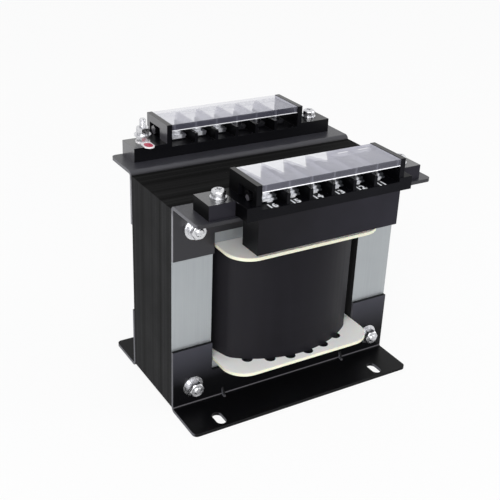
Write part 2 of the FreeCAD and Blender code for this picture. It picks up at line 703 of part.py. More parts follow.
def terminal_base():
    """Moulding with two wings, two cheeks and a row of bays."""
    wing = f"({WING_REACH} - {CHEEK_INNER}) / 2"
    lug = f"({RIM_REACH} - {CHEEK_INNER}) / 2"
    cheek = "sizes.cheek_thickness / 2"
    solids = [
        centred("0", WING_REACH, WING_FRONT, WING_START, SHELF_TOP, FLOOR_TOP),
        centred("0", RIM_REACH, RIM_FRONT, WING_FRONT, RIM_BOTTOM, FLOOR_TOP),
    ]
    for side in ("-", ""):
        wing_x = f"{side}({CHEEK_INNER} + {wing})"
        lug_x = f"{side}({CHEEK_INNER} + {lug})"
        cheek_x = f"{side}({CHEEK_INNER} + {cheek})"
        solids.append(centred(wing_x, wing, WING_FRONT, WING_START, SHELF_TOP, WING_TOP))
        solids.append(centred(lug_x, lug, RIM_FRONT, WING_FRONT, RIM_BOTTOM, WING_TOP))
        solids.append(centred(cheek_x, cheek, CHEEK_FRONT, WING_START, FLOOR_TOP, CHEEK_TOP))
    divider = "sizes.divider_thickness / 2"
    solids += [centred(x, divider, CHEEK_FRONT, WING_START, FLOOR_TOP, DIVIDER_TOP) for x in DIVIDERS]
    pad_front = f"{TERMINAL_Y} + sizes.pad_length / 2"
    pad_back = f"{TERMINAL_Y} - sizes.pad_length / 2"
    solids += [centred(x, "sizes.bar_width / 2", pad_front, pad_back, FLOOR_TOP, BAR_BOTTOM) for x in BAYS]

    inner = f"({CHEEK_REACH} - sizes.recess_depth)"
    recess_front = f"{CHEEK_FRONT} - sizes.recess_front_leg"
    recess_back = f"{WING_START} + sizes.recess_start"
    recess_top = f"{CHEEK_TOP} - sizes.recess_band"
    recess = "sizes.recess_depth / 2"
    tail = "(sizes.tail_width / 2 + sizes.tail_clearance)"
    tail_front = f"{TAIL_FRONT} + sizes.tail_clearance"
    tail_back = f"{TAIL_FRONT} - sizes.bar_thickness - sizes.tail_clearance"
    hole_bottom = f"{SCREW_TIP} - sizes.thread_clearance"
    hole_depth = f"{BAR_BOTTOM} - ({hole_bottom})"
    holes = []
    for x in BAYS:
        holes.append(rod(TERMINAL_HOLE, hole_depth, x, f"-{TERMINAL_Y}", hole_bottom))
        holes.append(centred(x, tail, tail_front, tail_back, SHELF_TOP, FLOOR_TOP))
    for side in ("-", ""):
        recess_x = f"{side}({inner} + {recess})"
        screw_x = f"{side}{SCREW_PLACE}"
        holes.append(centred(recess_x, recess, recess_front, recess_back, WING_TOP, recess_top))
        hole = rod("sizes.block_hole / 2", "sizes.wing_height", screw_x, f"-{BLOCK_SCREW_Y}", SHELF_TOP)
        holes.append(hole)
    carved = cut(fuse(*solids), *holes)
    pegs = []
    for side, turn in (("-", 90), ("", -90)):
        peg = doc.addObject("Part::Prism", "Peg")
        peg.Polygon = 6
        bind(peg, Circumradius="sizes.peg_flats / sqrt(3)", Height="sizes.recess_depth + 0.5")
        peg_z = f"{WING_TOP} + sizes.peg_flats / 2 + 0.2"
        peg_y = f"-({CHEEK_FRONT} - sizes.recess_front_leg - sizes.peg_flats)"
        pegs.append(put(peg, f"{side}({inner} - 0.5)", peg_y, peg_z, Rotation(Vector(0, 1, 0), -turn)))
    return fuse(carved, *pegs)


def terminal_bars():
    """Flat bars on the pads, each with a tail that goes down through the floor."""
    bars = []
    back = f"{TERMINAL_Y} - sizes.bar_back"
    tail_back = f"{TAIL_FRONT} - sizes.bar_thickness"
    tail_bottom = f"{CLAMP_BOTTOM} - sizes.tail_depth"
    for x in BAYS:
        plate = centred(x, "sizes.bar_width / 2", TAIL_FRONT, back, BAR_BOTTOM, CLAMP_BOTTOM)
        tail = centred(x, "sizes.tail_width / 2", TAIL_FRONT, tail_back, tail_bottom, BAR_BOTTOM)
        hole = rod(TERMINAL_HOLE, "sizes.bar_thickness", x, f"-{TERMINAL_Y}", BAR_BOTTOM)
        bars.append(cut(fuse(plate, tail), hole))
    return group(bars)


def clamp_plates():
    plates = []
    half = "sizes.clamp_size / 2"
    front = f"{TERMINAL_Y} + {half}"
    back = f"{TERMINAL_Y} - {half}"
    for x in BAYS:
        plate = centred(x, half, front, back, CLAMP_BOTTOM, HEAD_BOTTOM)
        hole = rod(TERMINAL_HOLE, "sizes.clamp_thickness", x, f"-{TERMINAL_Y}", CLAMP_BOTTOM)
        plates.append(cut(plate, hole))
    return group(plates)


def terminal_screw():
    head = "sizes.terminal_head"
    return pan_screw(head, "sizes.terminal_head_height", "sizes.terminal_thread", "sizes.terminal_shank")


def terminal_screws():
    return group([put(terminal_screw(), x, f"-{TERMINAL_Y}", HEAD_BOTTOM) for x in BAYS])


def terminal_cover():
    """Clear lid between the cheeks, with a lip along both long edges and a rib on each divider."""
    half = f"({CHEEK_INNER} - sizes.cover_side_gap)"
    back = f"({WING_START} + sizes.cover_setback)"
    under = f"({COVER_TOP} - sizes.cover_thickness)"
    lip_bottom = f"({COVER_TOP} - sizes.lip_height)"
    wall = "sizes.cover_thickness"
    solids = [
        centred("0", half, CHEEK_FRONT, back, under, COVER_TOP),
        centred("0", half, CHEEK_FRONT, f"{CHEEK_FRONT} - {wall}", lip_bottom, COVER_TOP),
        centred("0", half, f"{back} + {wall}", back, lip_bottom, COVER_TOP),
    ]
    rib = "sizes.rib_thickness / 2"
    solids += [centred(x, rib, CHEEK_FRONT, back, DIVIDER_TOP, under) for x in DIVIDERS]
    return fuse(*solids)


def lead_skirt():
    """Open box that hides the leads, below the rim and in front of the shelf."""
    front = f"({RIM_FRONT} - sizes.skirt_front_inset)"
    back = f"({SHEET_FACE} + sizes.skirt_back)"
    shelf_edge = f"({CORE_FRONT} + sizes.flange_reach + sizes.skirt_gap)"
    bottom = f"({SHELF_BOTTOM} - sizes.skirt_drop)"
    outside = fuse(
        centred("0", SKIRT_REACH, front, back, bottom, f"{SHELF_BOTTOM} - sizes.skirt_gap"),
        centred("0", SKIRT_REACH, front, shelf_edge, bottom, RIM_BOTTOM),
    )
    wall = "sizes.skirt_wall"
    inner = f"({SKIRT_REACH} - {wall})"
    inside = centred("0", inner, f"{front} - {wall}", f"{back} + {wall}", bottom, RIM_BOTTOM)
    return cut(outside, inside)


def tube(points, radius, bend):
    """Round lead along straight runs that are joined by tangent arcs."""
    edges = []
    start = points[0]
    for before, corner, after in zip(points, points[1:], points[2:]):
        towards = (after - corner).normalize()
        back = (before - corner).normalize()
        half_angle = back.getAngle(towards) / 2
        setback = bend / math.tan(half_angle)
        first = corner + back * setback
        last = corner + towards * setback
        middle_line = (back + towards).normalize()
        middle = corner + middle_line * (bend / math.sin(half_angle) - bend)
        edges.append(Part.LineSegment(start, first).toShape())
        edges.append(Part.Arc(first, middle, last).toShape())
        start = last
    edges.append(Part.LineSegment(start, points[-1]).toShape())
    path = Part.Wire(edges)
    profile = Part.Wire(Part.makeCircle(radius, points[0], points[1] - points[0]))
    return path.makePipeShell([profile], True, True)


def leads():
    """Six leads that rise through the flange's slots and run up beside the tails of the bars."""
    shelf_bottom = SIZES["core_lift"] + SIZES["core_height"] + SIZES["shelf_gap"]
    coil_top = SIZES["core_lift"] + SIZES["core_height"] - SIZES["core_width"] / 6
    coil_top -= SIZES["window_gap"] + SIZES["bobbin_flange"]
    tail_front = SIZES["core_depth"] / 2 + SIZES["wing_gap"] + SIZES["terminal_place"] + SIZES["bar_front"]
    tail_bottom = shelf_bottom + SIZES["sheet_thickness"] + SIZES["floor_height"] + SIZES["pad_height"]
    tail_bottom += SIZES["bar_thickness"] - SIZES["tail_depth"]
    beside_tail = tail_front + SIZES["lead_radius"] + SIZES["lead_clearance"]
    entry = shelf_bottom - SIZES["skirt_drop"] + SIZES["lead_entry"]
    tubes = []
    for i, x in enumerate(lead_slot_places()):
        bay = (i - (SIZES["bay_count"] - 1) / 2) * SIZES["core_width"] * PITCH_SHARE
        y = -coil_edge(x) + SIZES["lead_inset"]
        rise = coil_top + SIZES["bobbin_flange"] + SIZES["lead_rise"]
        points = [
            Vector(x, y, coil_top + SIZES["lead_clearance"]),
            Vector(x, y, rise),
            Vector(bay, -beside_tail, entry),
            Vector(bay, -beside_tail, tail_bottom + SIZES["lead_tail_lap"]),
        ]
        tubes.append(tube(points, SIZES["lead_radius"], SIZES["lead_bend"]))
    feature = doc.addObject("Part::Feature", "Leads")
    feature.Shape = Part.makeCompound(tubes)
    return feature


BLOCK_PIECES = {
    "terminal_base": terminal_base,
    "terminal_bars": terminal_bars,
    "clamp_plates": clamp_plates,
    "terminal_screws": terminal_screws,
    "terminal_cover": terminal_cover,
    "lead_skirt": lead_skirt,
}
for label, make in BLOCK_PIECES.items():
    node(f"front_{label}", make())
    node(f"rear_{label}", put(make(), y="sizes.rear_setback", rotation=HALF_TURN))
node("front_leads", leads())
rear_leads = leads()
rear_leads.Placement = Placement(Vector(0, SIZES["rear_setback"], 0), HALF_TURN)
node("rear_leads", rear_leads)


# Screws that hold the blocks on the shelves. The rear left hole holds the earth stud instead.
REAR_SCREW_Y = f"({BLOCK_SCREW_Y} + sizes.rear_setback)"
BLOCK_SPOTS = [
    (f"-{SCREW_PLACE}", f"-{BLOCK_SCREW_Y}"),
    (SCREW_PLACE, f"-{BLOCK_SCREW_Y}"),
    (SCREW_PLACE, REAR_SCREW_Y),
]
EARTH_X = f"-{SCREW_PLACE}"
BLOCK_SPRING_BOTTOM = f"({WING_TOP} + sizes.block_washer_thickness)"
BLOCK_HEAD_BOTTOM = f"({BLOCK_SPRING_BOTTOM} + sizes.block_spring_thickness)"
BLOCK_NUT_BOTTOM = f"({SHELF_BOTTOM} - sizes.block_nut_height)"


def at_blocks(make, z):
    return group([put(make(), x, y, z) for x, y in BLOCK_SPOTS])


def block_screw():
    shank = f"({BLOCK_HEAD_BOTTOM} - {BLOCK_NUT_BOTTOM} + sizes.block_overhang)"
    return pan_screw("sizes.block_head", "sizes.block_head_height", "sizes.block_thread", shank)


def block_nut():
    return nut("sizes.block_flats", "sizes.block_thread", "sizes.block_nut_height")


def block_spring():
    return spring_ring("sizes.block_spring_width", "sizes.block_hole", "sizes.block_spring_thickness")


def block_washer():
    return ring("sizes.block_washer_width", "sizes.block_hole", "sizes.block_washer_thickness")


node("block_screws", at_blocks(block_screw, BLOCK_HEAD_BOTTOM))
node("block_spring_washers", at_blocks(block_spring, BLOCK_SPRING_BOTTOM))
node("block_washers", at_blocks(block_washer, WING_TOP))
node("block_nuts", at_blocks(block_nut, BLOCK_NUT_BOTTOM))


# Earth stud, from the bottom up: head under the shelf, tag, nut, washer, spring washer, nut.
EARTH_NUT_BOTTOM = f"({WING_TOP} + sizes.tag_thickness)"
EARTH_WASHER_BOTTOM = f"({EARTH_NUT_BOTTOM} + sizes.block_nut_height)"
EARTH_SPRING_BOTTOM = f"({EARTH_WASHER_BOTTOM} + sizes.earth_washer_thickness)"
EARTH_UPPER_BOTTOM = f"({EARTH_SPRING_BOTTOM} + sizes.block_spring_thickness)"
STUD_TOP = f"({EARTH_UPPER_BOTTOM} + sizes.block_nut_height + sizes.stud_overhang)"


def earth_stud():
    head = hexagon("sizes.block_flats", "sizes.stud_head_height")
    shank = rod("sizes.block_thread / 2", f"{STUD_TOP} - {SHELF_BOTTOM}", z="sizes.stud_head_height")
    return fuse(head, shank)


def earth_tag():
    half = "sizes.tag_lug_width / 2"
    plate = fuse(
        rod("sizes.tag_width / 2", "sizes.tag_thickness"),
        rod(half, "sizes.tag_thickness", y="-sizes.tag_length"),
        block(f"-{half}", half, "-sizes.tag_length", "0", "0", "sizes.tag_thickness"),
    )
    return cut(plate, rod("sizes.block_hole / 2", "sizes.tag_thickness"))


def earth_washer():
    return ring("sizes.earth_washer_width", "sizes.block_hole", "sizes.earth_washer_thickness")


EARTH_PIECES = [
    ("earth_stud", earth_stud, f"{SHELF_BOTTOM} - sizes.stud_head_height"),
    ("earth_lower_nut", block_nut, EARTH_NUT_BOTTOM),
    ("earth_washer", earth_washer, EARTH_WASHER_BOTTOM),
    ("earth_spring_washer", block_spring, EARTH_SPRING_BOTTOM),
    ("earth_upper_nut", block_nut, EARTH_UPPER_BOTTOM),
]
for label, make, z in EARTH_PIECES:
    node(label, put(make(), EARTH_X, REAR_SCREW_Y, z))
turn = Rotation(Vector(0, 0, 1), SIZES["tag_turn"])
node("earth_tag", put(earth_tag(), EARTH_X, REAR_SCREW_Y, WING_TOP, turn))

doc.recompute()
for obj in doc.Objects:
    if "Invalid" in obj.State or "Error" in obj.State:
        raise RuntimeError(f"{obj.Label} did not recompute")
for piece in NODES:
    if piece.Shape.isNull() or not piece.Shape.isValid():
        raise RuntimeError(f"{piece.Label} has no valid shape")

os.makedirs("parts", exist_ok=True)
for piece in NODES:
    piece.Shape.exportStep(f"parts/{piece.Label}.step")
    print(f"{piece.Label}: {len(piece.Shape.Solids)} solids, {piece.Shape.Volume:.0f} mm3")
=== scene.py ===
import math

import bmesh
import bpy
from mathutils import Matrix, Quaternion, Vector

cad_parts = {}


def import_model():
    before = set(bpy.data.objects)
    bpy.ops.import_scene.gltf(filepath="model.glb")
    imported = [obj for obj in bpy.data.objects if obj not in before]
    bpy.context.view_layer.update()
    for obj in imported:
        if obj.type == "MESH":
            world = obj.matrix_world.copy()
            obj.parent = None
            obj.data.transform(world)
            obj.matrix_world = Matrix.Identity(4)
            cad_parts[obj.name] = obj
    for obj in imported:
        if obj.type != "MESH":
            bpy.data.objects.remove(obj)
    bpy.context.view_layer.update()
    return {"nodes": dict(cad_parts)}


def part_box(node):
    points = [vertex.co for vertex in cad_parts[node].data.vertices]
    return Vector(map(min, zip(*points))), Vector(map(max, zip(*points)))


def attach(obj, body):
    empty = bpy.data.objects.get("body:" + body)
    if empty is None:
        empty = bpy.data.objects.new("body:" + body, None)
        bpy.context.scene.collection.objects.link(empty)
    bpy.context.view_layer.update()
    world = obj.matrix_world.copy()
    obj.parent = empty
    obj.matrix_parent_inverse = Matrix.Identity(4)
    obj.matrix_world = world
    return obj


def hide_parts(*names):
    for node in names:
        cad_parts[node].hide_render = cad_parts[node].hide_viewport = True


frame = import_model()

NODES = frame["nodes"]
MM = 0.001
ROOT = "root"

# Places in metres that several materials share
PITCH = 0.0138
CHEEK_SIDE = 0.0461
WINGS_FROM = 0.0523
CHEEK_TOP = 0.1485
PEG_HEIGHT = 0.1393
LIP_BOTTOM = 0.14465
LIP_LINE = 0.1453


# Small helpers for colours and shader graphs
def srgb(r, g, b, a=1.0):
    """Linear colour of an 8-bit screen colour."""
    def linear(v):
        v /= 255.0
        return v / 12.92 if v <= 0.04045 else ((v + 0.055) / 1.055) ** 2.4
    return (linear(r), linear(g), linear(b), a)


def dim(colour, share):
    """The colour at a share of its brightness."""
    return tuple(v * share for v in colour[:3]) + (1.0,)


class Graph:
    """One material's node graph round its Principled shader."""

    def __init__(self, name):
        self.material = bpy.data.materials.new(name)
        self.material.use_nodes = True
        self.tree = self.material.node_tree
        self.shader = self.tree.nodes["Principled BSDF"]
        self.coords = None

    def set(self, **values):
        for key, value in values.items():
            self.shader.inputs[key.replace("_", " ")].default_value = value

    def plug(self, value, socket):
        if isinstance(value, bpy.types.NodeSocket):
            self.tree.links.new(value, socket)
        else:
            socket.default_value = value

    def math(self, operation, *values):
        node = self.tree.nodes.new("ShaderNodeMath")
        node.operation = operation
        for i, value in enumerate(values):
            self.plug(value, node.inputs[i])
        return node.outputs[0]

    def mix(self, factor, a, b):
        node = self.tree.nodes.new("ShaderNodeMix")
        node.data_type = "RGBA"
        self.plug(factor, node.inputs[0])
        self.plug(a, node.inputs[6])
        self.plug(b, node.inputs[7])
        return node.outputs[2]

    def place(self):
        """Object coordinates in metres, which are the frame's own."""
        if self.coords is None:
            self.coords = self.tree.nodes.new("ShaderNodeTexCoord")
        return self.coords.outputs["Object"]

    def parts(self, vector):
        node = self.tree.nodes.new("ShaderNodeSeparateXYZ")
        self.tree.links.new(vector, node.inputs[0])
        return node.outputs[0], node.outputs[1], node.outputs[2]

    def normal(self):
        """X, Y and Z of the surface's normal."""
        return self.parts(self.tree.nodes.new("ShaderNodeNewGeometry").outputs["Normal"])

    def scaled(self, x, y, z):
        node = self.tree.nodes.new("ShaderNodeMapping")
        self.tree.links.new(self.place(), node.inputs[0])
        node.inputs["Scale"].default_value = (x, y, z)
        return node.outputs[0]

    def noise(self, scale, detail=3.0, vector=None, roughness=0.5):
        node = self.tree.nodes.new("ShaderNodeTexNoise")
        self.tree.links.new(vector or self.place(), node.inputs["Vector"])
        node.inputs["Scale"].default_value = scale
        node.inputs["Detail"].default_value = detail
        node.inputs["Roughness"].default_value = roughness
        return node.outputs["Fac"]

    def remap(self, value, low, high, to_low=0.0, to_high=1.0):
        node = self.tree.nodes.new("ShaderNodeMapRange")
        for i, v in enumerate((value, low, high, to_low, to_high)):
            self.plug(v, node.inputs[i])
        return node.outputs[0]

    def past(self, value, edge, reach=0.0001):
        """0 below the edge and 1 above it, blended over the reach to each side."""
        return self.remap(value, edge - reach, edge + reach)

    def before(self, value, edge, reach=0.0001):
        """1 below the edge and 0 above it."""
        return self.remap(value, edge - reach, edge + reach, 1.0, 0.0)

    def coat(self, weight, roughness, ior):
        """Clear gloss over the base, as strong as weight says at each place."""
        self.plug(weight, self.shader.inputs["Coat Weight"])
        self.set(Coat_Roughness=roughness, Coat_IOR=ior)

    def random_band(self, value, bands_per_metre, shift=0.0):
        """Random number that is the same across one band of a coordinate."""
        index = self.math("FLOOR", self.math("MULTIPLY_ADD", value, bands_per_metre, shift))
        node = self.tree.nodes.new("ShaderNodeTexWhiteNoise")
        node.noise_dimensions = "1D"
        self.tree.links.new(index, node.inputs["W"])
        return node.outputs["Value"]

    def colour(self, value):
        self.plug(value, self.shader.inputs["Base Color"])

    def rough(self, value):
        self.plug(value, self.shader.inputs["Roughness"])

    def bump(self, height, strength, distance, edge=0.0):
        """Bump on the surface, and soft light along edges where edge is a radius."""
        node = self.tree.nodes.new("ShaderNodeBump")
        node.inputs["Strength"].default_value = strength
        node.inputs["Distance"].default_value = distance
        self.plug(height, node.inputs["Height"])
        if edge:
            soft = self.tree.nodes.new("ShaderNodeBevel")
            soft.samples = 6
            soft.inputs["Radius"].default_value = edge
            self.tree.links.new(soft.outputs[0], node.inputs["Normal"])
        self.tree.links.new(node.outputs[0], self.shader.inputs["Normal"])


def dress(names, graph):
    """Gives CAD nodes one material."""
    for name in names:
        mesh = NODES[name].data
        mesh.materials.clear()
        mesh.materials.append(graph.material)


# Materials
def lamination():
    """Bare steel where sheets show their faces, varnished dark edges elsewhere, one line a sheet, and the
    tops painted darker than the sides as painted shade.
    """
    g = Graph("lamination")
    _, y, _ = g.parts(g.place())
    _, ny, nz = g.normal()
    packet = g.random_band(y, 1000 / 3.0, 8.5)
    single = g.random_band(y, 2000.0)
    tone = g.math("MULTIPLY_ADD", packet, 0.5, g.math("MULTIPLY", single, 0.5))
    edge = g.mix(tone, srgb(27, 27, 27), srgb(50, 50, 51))
    stain = g.remap(g.noise(45.0), 0.35, 0.7)
    edge = g.mix(g.math("MULTIPLY", stain, 0.35), edge, srgb(19, 19, 20))
    # Painted shade: upward faces take a darker copy of the edge tones.
    top = g.mix(g.math("POWER", tone, 2.0), srgb(3, 3, 3), srgb(35, 35, 35))
    edge = g.mix(g.remap(nz, 0.4, 0.6), edge, top)
    brushed = g.noise(1.0, 4.0, g.scaled(900.0, 900.0, 14.0), 0.6)
    cloudy = g.remap(g.noise(28.0), 0.3, 0.7)
    steel = g.mix(brushed, srgb(154, 158, 161), srgb(176, 180, 182))
    steel = g.mix(g.math("MULTIPLY", cloudy, 0.3), steel, srgb(143, 148, 152))
    facing = g.remap(g.math("ABSOLUTE", ny), 0.4, 0.6)
    g.colour(g.mix(facing, edge, steel))
    g.plug(g.math("MULTIPLY", facing, 0.75), g.shader.inputs["Metallic"])
    g.rough(g.remap(facing, 0.0, 1.0, 0.75, g.remap(brushed, 0.2, 0.8, 0.36, 0.5)))
    gap = g.math("ABSOLUTE", g.math("SUBTRACT", g.math("FRACT", g.math("MULTIPLY", y, 2000.0)), 0.5))
    g.bump(g.math("MULTIPLY", gap, g.math("SUBTRACT", 1.0, facing)), 0.5, 0.0001)
    g.set(Specular_IOR_Level=0.05)
    return g


def cream_plastic():
    """Moulded cream plastic with a warmer rim, flat faces painted paler as painted light, and the walls of
    the lead slots painted near black as painted shade.
    """
    g = Graph("cream_plastic")
    x, y, _ = g.parts(g.place())
    _, _, nz = g.normal()
    cloudy = g.remap(g.noise(60.0), 0.3, 0.7)
    # Painted light: the flat faces are made paler than the rim.
    flat = g.mix(cloudy, srgb(238, 238, 236), srgb(246, 245, 241))
    rim = g.mix(cloudy, srgb(214, 213, 190), srgb(224, 223, 202))
    # Painted shade: the walls inside the lead slots are near black.
    slot_shade = g.before(g.math("ABSOLUTE", y), 0.0499)
    slot_shade = g.math("MULTIPLY", slot_shade, g.before(g.math("ABSOLUTE", x), 0.0364))
    rim = g.mix(slot_shade, rim, srgb(12, 11, 13))
    g.colour(g.mix(g.remap(g.math("ABSOLUTE", nz), 0.3, 0.7), rim, flat))
    g.rough(g.remap(g.noise(400.0), 0.3, 0.7, 0.38, 0.5))
    g.bump(g.noise(1500.0), 0.08, 0.0001, 0.0003)
    g.set(Subsurface_Weight=0.15, Subsurface_Scale=0.002, Specular_IOR_Level=0.35)
    return g


def coil_wrap():
    """Satin black film wound round the coil, with faint turns and creases and a painted sheen towards its
    left side.
    """
    g = Graph("coil_wrap")
    x, _, z = g.parts(g.place())
    creases = g.noise(1.0, 4.0, g.scaled(220.0, 220.0, 18.0))
    turns = g.random_band(z, 110.0)
    base = g.mix(creases, srgb(15, 14, 18), srgb(22, 21, 26))
    # Painted sheen: the film is paler towards its left side.
    base = g.mix(g.remap(x, -0.047, -0.018), srgb(34, 33, 36), base)
    g.colour(g.mix(g.math("MULTIPLY", turns, 0.25), base, srgb(26, 25, 30)))
    g.rough(g.remap(creases, 0.2, 0.8, 0.38, 0.5))
    g.bump(g.math("MULTIPLY_ADD", creases, 0.6, g.math("MULTIPLY", turns, 0.15)), 0.12, 0.0003)
    g.set(Specular_IOR_Level=0.09)
    return g


def painted_sheet(name, front, top, edge, specular, low=None):
    """Satin paint on sheet steel, with lit and shaded tones painted on its faces and tops, a painted
    highlight along the bend, and paler cut ends that are painted darker high up as painted shade.

    Where low is set, it is the colour near the floor, a painted shade that blends into front higher up.
    """
    g = Graph(name)
    _, _, z = g.parts(g.place())
    nx, _, nz = g.normal()
    peel = g.noise(1400.0, 2.0)
    cloudy = g.remap(g.noise(30.0), 0.3, 0.7)
    # Painted shade: where low is set, the faces darken towards the floor.
    face = g.mix(g.remap(z, 0.016, 0.044), low, front) if low else front
    face = g.mix(g.math("MULTIPLY", cloudy, 0.2), face, srgb(12, 12, 14))
    lying = g.mix(cloudy, top, dim(top, 0.75))
    # Painted highlight: a paler line along the bend.
    bend = g.math("MULTIPLY", g.past(z, 0.0020), g.before(z, 0.0030, 0.0002))
    face = g.mix(bend, face, srgb(90, 88, 92))
    # Painted light: faces and tops are lit and shaded tones of the one paint.
    colour = g.mix(g.remap(g.math("ABSOLUTE", nz), 0.4, 0.7), face, lying)
    end_tone_and_shade = g.mix(g.noise(260.0), edge, dim(edge, 0.7))
    # Painted shade: the cut ends high up, on the shelf's arm, are darker.
    end_tone_and_shade = g.mix(g.remap(z, 0.1235, 0.1255), end_tone_and_shade, srgb(84, 84, 90))
    g.colour(g.mix(g.remap(g.math("ABSOLUTE", nx), 0.7, 0.95), colour, end_tone_and_shade))
    g.rough(g.remap(peel, 0.3, 0.7, 0.3, 0.42))
    g.bump(peel, 0.1, 0.0001, 0.0004)
    g.set(Specular_IOR_Level=specular)
    return g


def moulding(name, left, right, top, specular, base=None):
    """Moulded black plastic with a fine grain and soft edges.

    left and right are the colours of its front, which blends from one to the other across it as painted
    light. base is for the terminal bases, which alone have wings and cheeks: the painted light and
    shade tones of the wings' ends, the wings' tops and the cheeks' sides, where the pegs stand, and how
    strong the gloss is on the left cheek's side, the left wing, the right wing and the cheeks' tops.
    """
    g = Graph(name)
    x, y, z = g.parts(g.place())
    nx, _, nz = g.normal()
    upward = g.remap(nz, 0.5, 0.8)
    cloudy = g.remap(g.noise(50.0), 0.3, 0.7)
    grain = g.noise(2600.0, 2.0)
    # Painted light: the front blends from the left colour to the right one.
    front = g.mix(g.remap(x, -0.045, 0.045), left, right)
    side = srgb(6, 6, 8)
    if base:
        out = g.math("ABSOLUTE", x)
        on_wing = g.past(out, WINGS_FROM)
        # Painted light and shade: the wings' ends and tops and the cheeks' sides take their own lit or
        # shaded tones.
        front = g.mix(on_wing, front, base["ends"])
        top = g.mix(on_wing, top, base["wings"])
        side = g.mix(g.past(out, CHEEK_SIDE), side, base["sides"])
        dy = g.math("SUBTRACT", y, base["peg_y"])
        dz = g.math("SUBTRACT", z, PEG_HEIGHT)
        square = g.math("ADD", g.math("MULTIPLY", dy, dy), g.math("MULTIPLY", dz, dz))
        peg = g.math("MULTIPLY", g.remap(square, 0.0000028, 0.000004, 1.0, 0.0), g.past(out, 0.0450))
        side = g.mix(peg, side, srgb(88, 86, 92))
        outer, left_wing, right_wing, crest = base["gloss"]
        wings = g.math("MULTIPLY", on_wing, g.remap(x, -0.01, 0.01, left_wing, right_wing))
        crests = g.math("MULTIPLY", g.past(z, CHEEK_TOP), crest)
        lying = g.math("MULTIPLY", upward, g.math("MAXIMUM", wings, crests))
        leftward = g.math("MULTIPLY", g.remap(nx, -0.8, -0.5, 1.0, 0.0), g.before(x, -CHEEK_SIDE))
        g.coat(g.math("MAXIMUM", lying, g.math("MULTIPLY", leftward, outer)), 0.2, 1.7)
    colour = g.mix(g.remap(g.math("ABSOLUTE", nx), 0.5, 0.8), front, side)
    colour = g.mix(upward, colour, top)
    darker = g.mix(0.35, colour, srgb(6, 6, 8))
    g.colour(g.mix(cloudy, colour, darker))
    g.rough(g.remap(grain, 0.3, 0.7, 0.28, 0.38))
    g.bump(grain, 0.06, 0.00005, 0.0003)
    g.set(Specular_IOR_Level=specular)
    return g


def painted_reflection_wedges(g, x, y, far):
    """Painted reflections: white wedges in the cover's four left bays and short streaks in the other two.

    u runs from 0 to 1 across a bay, and v runs towards the front from the cover's far edge.
    """
    place = g.math("MULTIPLY_ADD", x, 1 / PITCH, 3.0)
    bay = g.math("FLOOR", place)
    u = g.math("FRACT", place)
    v = g.math("MULTIPLY", g.math("SUBTRACT", far, y), 1 / PITCH)
    steep = g.remap(bay, 0.0, 4.0, 7.0, 0.2)
    below = g.math("SUBTRACT", g.math("MULTIPLY", u, steep), v)
    beside = g.math("SUBTRACT", g.math("MULTIPLY_ADD", v, -0.612, 0.97), u)
    wedge = g.math("MULTIPLY", g.remap(below, -0.08, 0.08), g.remap(beside, -0.05, 0.05))
    wedge = g.math("MULTIPLY", wedge, g.remap(bay, 3.4, 3.6, 1.0, 0.0))
    streak = g.math("MULTIPLY", g.remap(v, 0.28, 0.32), g.remap(v, 0.38, 0.44, 1.0, 0.0))
    ends = g.math("MULTIPLY", g.remap(u, 0.15, 0.3), g.remap(u, 0.7, 0.85, 1.0, 0.0))
    streak = g.math("MULTIPLY", g.math("MULTIPLY", streak, ends), g.remap(bay, 3.4, 3.6))
    return g.math("MAXIMUM", wedge, streak)


